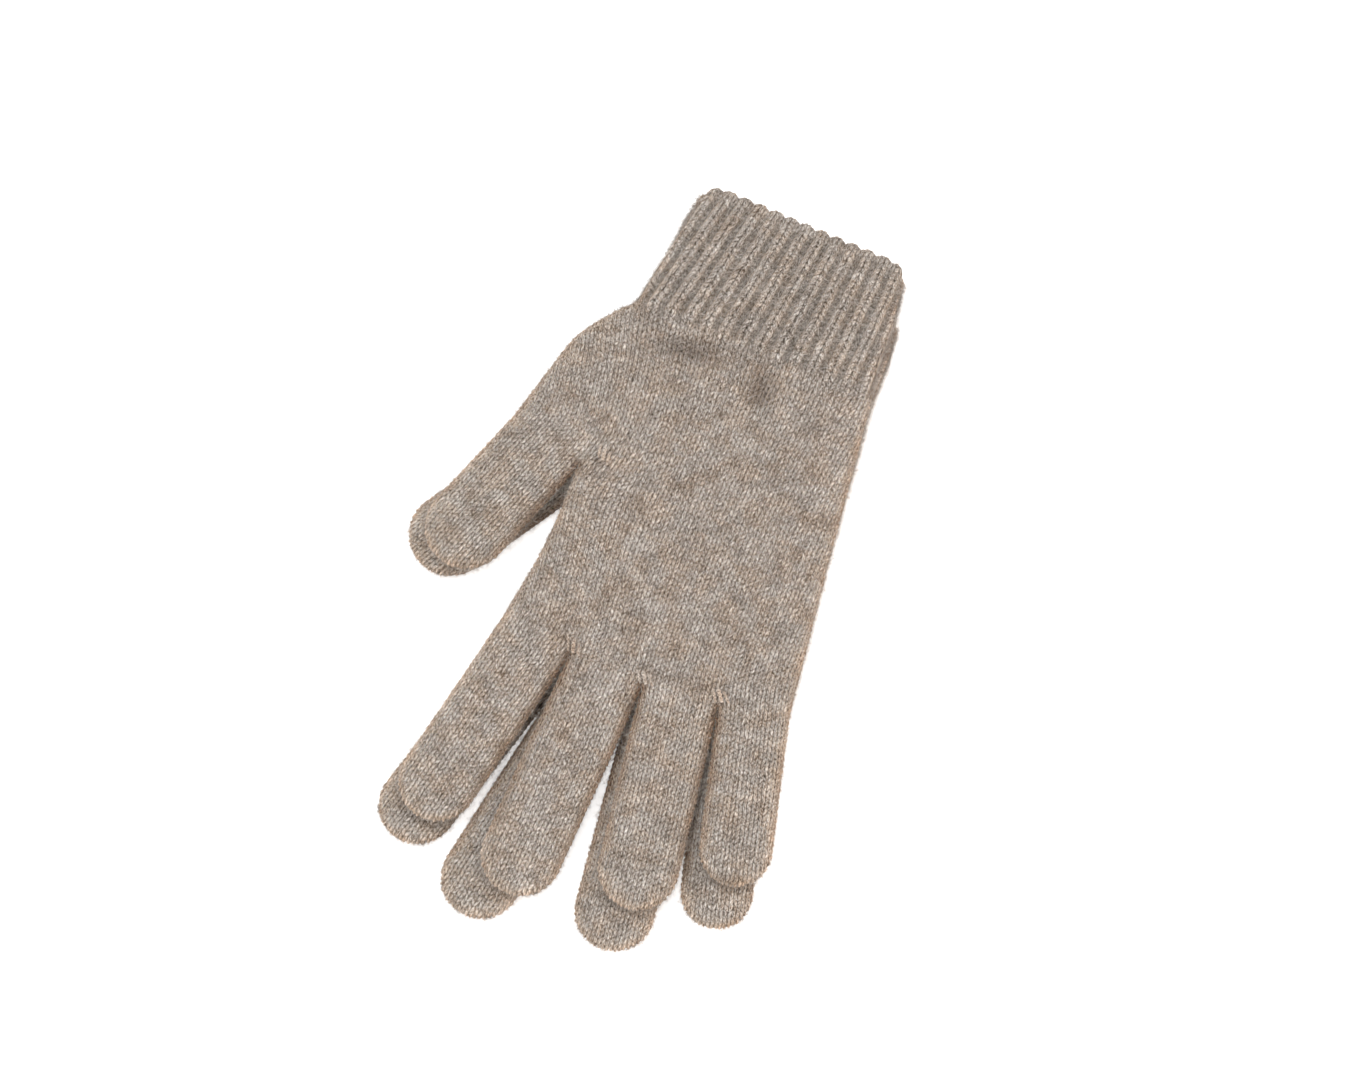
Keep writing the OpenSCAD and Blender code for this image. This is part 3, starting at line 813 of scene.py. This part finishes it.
def fabric_material(name, shade):
    graph = Graph(name)
    s, t, rib = graph.split(graph.attribute("knit"))
    rest = graph.attribute("rest")
    # The stitch as in relief(): a leg is round across, and swells between those above and below it.
    legs = graph.times(s, 2.0)
    column = graph.math("FLOOR", legs)
    x = graph.less(graph.less(legs, column), 0.5)
    slant = graph.scale_add(graph.math("FLOORED_MODULO", column, 2.0), -2.0, 1.0)
    tau = graph.scale_add(graph.times(slant, x), LEG_SLANT, t)
    course = graph.math("FLOOR", tau)
    f = graph.less(tau, course)
    tilted = graph.scale_add(graph.times(slant, graph.less(f, 0.5)), LEG_TILT, x)
    leg = graph.half_round(graph.times(tilted, LEG_NARROW))
    swell = graph.half_round(graph.scale_add(f, 2.0, -1.0))
    height = graph.times(leg, graph.scale_add(swell, 1 - LEG_ENDS, LEG_ENDS))
    # A purl valley shows the loops' backs instead.
    valley = graph.times(graph.math("FLOORED_MODULO", graph.math("FLOOR", s), 2.0), rib)
    bars = graph.scale_add(graph.math("COSINE", graph.times(t, 2 * math.pi)), PURL_BAR, PURL_TONE)
    height = graph.math("ADD", graph.times(height, graph.less(1.0, valley)), graph.times(bars, valley))
    # Fibres run along the leg, and each stitch is a little lighter or darker than the next.
    yarn = graph.vector(*(graph.times(part, pace) for part, pace in zip((x, tau, column), FIBRE_PACE)))
    courses = graph.vector(*(graph.times(part, pace) for part, pace in zip((s, tau), STREAK_PACE)), 3.0)
    colour = heather(graph, yarn, rest, courses)
    own = graph.white(graph.vector(column, course, 0.0))
    colour = graph.tint(colour, graph.ramp(own, (0.0, DULL_STITCH), (1.0, BRIGHT_STITCH)))
    # Painted shade in the holes between the stitches and in the purl valleys, and a painted highlight on
    # the crests.
    colour = graph.tint(colour, graph.ramp(height, (0.15, HOLE_SHADE), (0.44, FLANK_SHADE), (0.75, CREST_HIGHLIGHT)))
    # Painted shade darkens the wool in the hollows and in a crotch, and a painted warm light brightens it
    # round its sides.
    level, hollow, crotch_shade = graph.split(graph.attribute("painted_shading"))
    colour = graph.tint(colour, PAINTED_HOLLOW_SHADE, graph.times(hollow, 0.95))
    # A painted warm light brightens the sides, where the fabric turns over at the outline.
    turned = graph.ramp(graph.math("ABSOLUTE", graph.less(level, 0.5)), (0.15, 1), (0.42, 0))
    colour = graph.tint(colour, PAINTED_SIDE_LIGHT, turned)
    colour = graph.tint(colour, SHADED, crotch_shade)
    colour = graph.tint(colour, tuple(c * shade for c in SPUN))
    graph.put(graph.bsdf, "Base Color", colour)
    graph.set(Roughness=0.92, Sheen_Weight=1.0, Sheen_Roughness=0.35, Sheen_Tint=(1.0, 0.8, 0.62, 1),
              Specular_IOR_Level=0.2)
    stitches = graph.bump(height, 0.6 * MM, 0.9)
    graph.put(graph.bsdf, "Normal", graph.bump(graph.noise(yarn, 2.6, 2.0, 0.7), 0.16 * MM, 0.4, stitches))
    return graph.material


def yarn_material(name):
    graph = Graph(name)
    place, rest = graph.attribute("yarn"), graph.attribute("rest")
    colour = heather(graph, graph.scaled(place, (3.0, 1.2, 1.0)), rest, graph.scaled(rest, (4.0, 5.0, 5.0)))
    graph.put(graph.bsdf, "Base Color", graph.tint(colour, (1.22, 1.22, 1.22)))
    graph.set(Roughness=0.92, Sheen_Weight=0.35, Specular_IOR_Level=0.2)
    graph.put(graph.bsdf, "Normal", graph.bump(graph.noise(place, 6.0, 2.0, 0.7), 0.15 * MM, 0.5))
    return graph.material


def fibre_material(name):
    graph = Graph(name)
    tone = graph.noise(graph.attribute("rest"), 25.0, 1.0, 0.5)
    graph.put(graph.bsdf, "Base Color", graph.ramp(tone, (0.3, BROWN), (0.5, GREY_BEIGE), (0.7, PALE)))
    graph.set(Roughness=0.9, Specular_IOR_Level=0.1)
    return graph.material


knit_material = fabric_material("heather_knit_wool", 0.97)
rib_material = fabric_material("heather_rib_wool", 0.95)
edge_material = fabric_material("heather_edge_wool", 0.95)
yarn_wool = yarn_material("join_yarn_wool")
nap_material = fibre_material("wool_nap")


# ---- The join stitches at the crotches -----------------------------------------------------------
def twisted_yarn(path, radius, turns, plies=2):
    """Plies wound round each other along a path, as closed tubes."""
    n, around = len(path), 12
    tangent = np.gradient(path, axis=0)
    tangent /= np.linalg.norm(tangent, axis=1, keepdims=True)
    side = np.cross(tangent, [0, 0, 1.0])
    side /= np.linalg.norm(side, axis=1, keepdims=True)
    up = np.cross(side, tangent)
    theta = np.linspace(0, 2 * math.pi, around, endpoint=False)
    ring = side[:, None] * np.cos(theta)[None, :, None] + up[:, None] * np.sin(theta)[None, :, None]
    taper = np.sqrt(np.clip(1 - np.abs(np.linspace(-1, 1, n)) ** 8, 0.03, 1))[:, None]
    verts, quads, coords = [], [], []
    for ply in range(plies):
        wind = (np.linspace(0, 2 * math.pi * turns, n) + 2 * math.pi * ply / plies)[:, None]
        centre = path + (side * np.cos(wind) + up * np.sin(wind)) * radius * PLY_OUT * taper
        verts.append((centre[:, None] + ring * (radius * PLY_R * taper)[:, None]).reshape(-1, 3))
        grid = ply * n * around + np.arange(n * around).reshape(n, around)
        nxt = np.roll(grid, -1, 1)
        quads.append(np.stack([grid[:-1], nxt[:-1], nxt[1:], grid[1:]], -1).reshape(-1, 4))
        for end in (grid[0][::-1], grid[-1]):
            halves = range(around // 2 - 1)
            cap = [[end[k], end[k + 1], end[around - 2 - k], end[around - 1 - k]] for k in halves]
            quads.append(np.array(cap))
        a, b = np.meshgrid(np.linspace(0, 4, around), np.linspace(0, 8, n))
        coords.append(np.stack([a + ply * 9, b, np.zeros(a.shape)], -1).reshape(-1, 3))
    return np.vstack(verts), np.vstack(quads), np.vstack(coords)


def fabric_top(top_sheets, xy):
    """Height of the top of the fabric under places in the shared plan, evened out along them."""
    points = stacked(top_sheets, "points")
    heights = []
    for at in xy:
        near = to_point(points, at) < 1.0 * MM
        heights.append(points[near, 2].max() if near.any() else np.nan)
    z = np.array(heights)
    z = np.where(np.isnan(z), np.nanmean(z), z)
    return np.convolve(np.pad(z, 4, "edge"), np.ones(9) / 9, "valid")


def crotch_stitches(name, glove, i, made):
    lay = glove["lay"]
    angle = lay[THUMB] if i == THUMB else (lay[i] + lay[i + 1]) / 2
    r = CROTCH_YARN_D / 2
    back = 2 * SEAT_BLUNTING if name == "lower" else (LOFT / 2 if i == THUMB else 2 * r)
    aside = back if i == THUMB else 0
    seat_middle = root(glove, i)[1] + [aside, 0] - along(angle) * (back + CROTCH_STITCH_LEN / 2)
    g = np.random.default_rng(JOIN_SEED[name] + i)
    shares = np.linspace(0, 1, 26)
    verts, quads, coords, start = [], [], [], 0
    for k in range(CROTCH_STITCHES):
        offset = (k - (CROTCH_STITCHES - 1) / 2) * CROTCH_PITCH * CROTCH_YARN_D
        run = -along(angle + g.uniform(*JOIN_LEAN))
        plan = seat_middle + across(angle) * offset + run * ((shares - 0.5) * CROTCH_STITCH_LEN)[:, None]
        flat = placed(glove, np.pad(plan, ((0, 0), (0, 1))))[:, :2]
        in_middle = k == CROTCH_STITCHES // 2
        arch = np.sin(math.pi * shares) * r * JOIN_ARCH + r * (JOIN_STAND if in_middle else JOIN_SINK)
        z = fabric_top(made[f"{name}_hand_top"], flat) + arch * MM
        thick = JOIN_THICK if in_middle else 1.0
        v, q, c = twisted_yarn(np.concatenate([flat, z[:, None]], 1), r * thick * MM, JOIN_TWIST)
        verts.append(v)
        quads.append(q + start)
        coords.append(c + [20 * k, 0, 0])
        start += len(v)
    verts = np.vstack(verts)
    node = f"{name}_{CROTCHES[i]}_stitches"
    obj = new_mesh(f"{node}_yarn", verts, np.vstack(quads), yarn_wool,
                   {"yarn": np.vstack(coords), "rest": verts / MM / 10})
    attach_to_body(obj, f"{name}_glove")
    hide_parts(node)


# ---- Putting the gloves together -----------------------------------------------------------------
def attach(obj, name, glove, kind):
    """Bakes the placement into a finger or the upper cuff, rides the upper cuff's edge on the upper cuff,
    and every other piece on its glove.
    """
    def at(plan):
        return tuple(placed(glove, np.array([*plan, LOFT / 2])))

    body = f"{name}_glove"
    if kind in FINGERS:
        i = FINGERS.index(kind)
        middle = sum(root(glove, i)) / 2
        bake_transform(obj)
    elif kind == "cuff" and name == "upper":
        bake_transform(obj)
    elif kind == "cuff_edge" and name == "upper":
        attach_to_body(obj, "upper_cuff")
    else:
        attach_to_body(obj, body)


for name, glove in GLOVES.items():
    made = build(name, glove)
    for number, (piece, sheets) in enumerate(made.items()):
        kind = piece.removeprefix(name + "_")
        material = {"cuff": rib_material, "cuff_edge": edge_material}.get(kind, knit_material)
        points = stacked(sheets, "points")
        obj = new_mesh(f"{piece}_knit", points, joined(sheets), material,
                       {key: stacked(sheets, key) for key in ("knit", "rest", "painted_shading")},
                       normals=stacked(sheets, "normals"), uv=sheet_uv(sheets))
        attach(obj, name, glove, kind)
        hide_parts(piece.removesuffix("_top").removesuffix("_under"))
        fibres = nap(f"{piece}_nap", sheets, int(len(points) * NAP_PER_VERTEX), NAP_SEED[name] + number)
        attach(fibres, name, glove, kind)
    for i in range(len(CROTCHES)):
        crotch_stitches(name, glove, i, made)

# ---- Floor, light and camera ---------------------------------------------------------------------
floor_graph = Graph("pale_floor")
floor_graph.set(Base_Color=(0.9, 0.9, 0.9, 1), Roughness=1.0, Emission_Color=(1, 1, 1, 1),
                Emission_Strength=0.68)
bpy.ops.mesh.primitive_plane_add(size=8)
floor = bpy.context.object
floor.name = "floor"
floor.data.materials.append(floor_graph.material)

world = bpy.data.worlds.new("studio")
world.use_nodes = True
world.node_tree.nodes["Background"].inputs["Color"].default_value = (1, 1, 1, 1)
world.node_tree.nodes["Background"].inputs["Strength"].default_value = 0.56
bpy.context.scene.world = world


def soft_light(name, place, size, power, colour=(1, 1, 1)):
    light = bpy.data.lights.new(name, "AREA")
    light.shape, light.size, light.energy, light.color = "DISK", size, power, colour
    obj = bpy.data.objects.new(name, light)
    obj.location = place
    obj.rotation_mode = "QUATERNION"
    obj.rotation_quaternion = (Vector((0, 0, 0)) - Vector(place)).to_track_quat("-Z", "Y")
    bpy.context.scene.collection.objects.link(obj)


soft_light("key", (-0.2, 0.24, 1.4), 0.6, 11.2)
soft_light("fill", (-0.35, -0.95, 0.5), 0.8, 3.2, (1.0, 0.96, 0.92))
soft_light("bounce", (0.95, 0.0, 0.35), 0.7, 4.2, (1.0, 0.8, 0.64))
bpy.context.scene.view_settings.view_transform = "Standard"

AZIMUTH, ELEVATION, DISTANCE, LENS = math.radians(21), math.radians(80), 1.0625, 85
TARGET = Vector((0.0088, 0.01185, 0.009))
level = math.cos(ELEVATION)
look = Vector((-math.sin(AZIMUTH) * level, math.cos(AZIMUTH) * level, -math.sin(ELEVATION)))
camera_data = bpy.data.cameras.new("camera")
camera_data.lens, camera_data.sensor_width = LENS, 36
camera = bpy.data.objects.new("camera", camera_data)
camera.location = TARGET - look * DISTANCE
camera.rotation_mode = "QUATERNION"
camera.rotation_quaternion = look.to_track_quat("-Z", "Y")
bpy.context.scene.collection.objects.link(camera)
bpy.context.scene.camera = camera
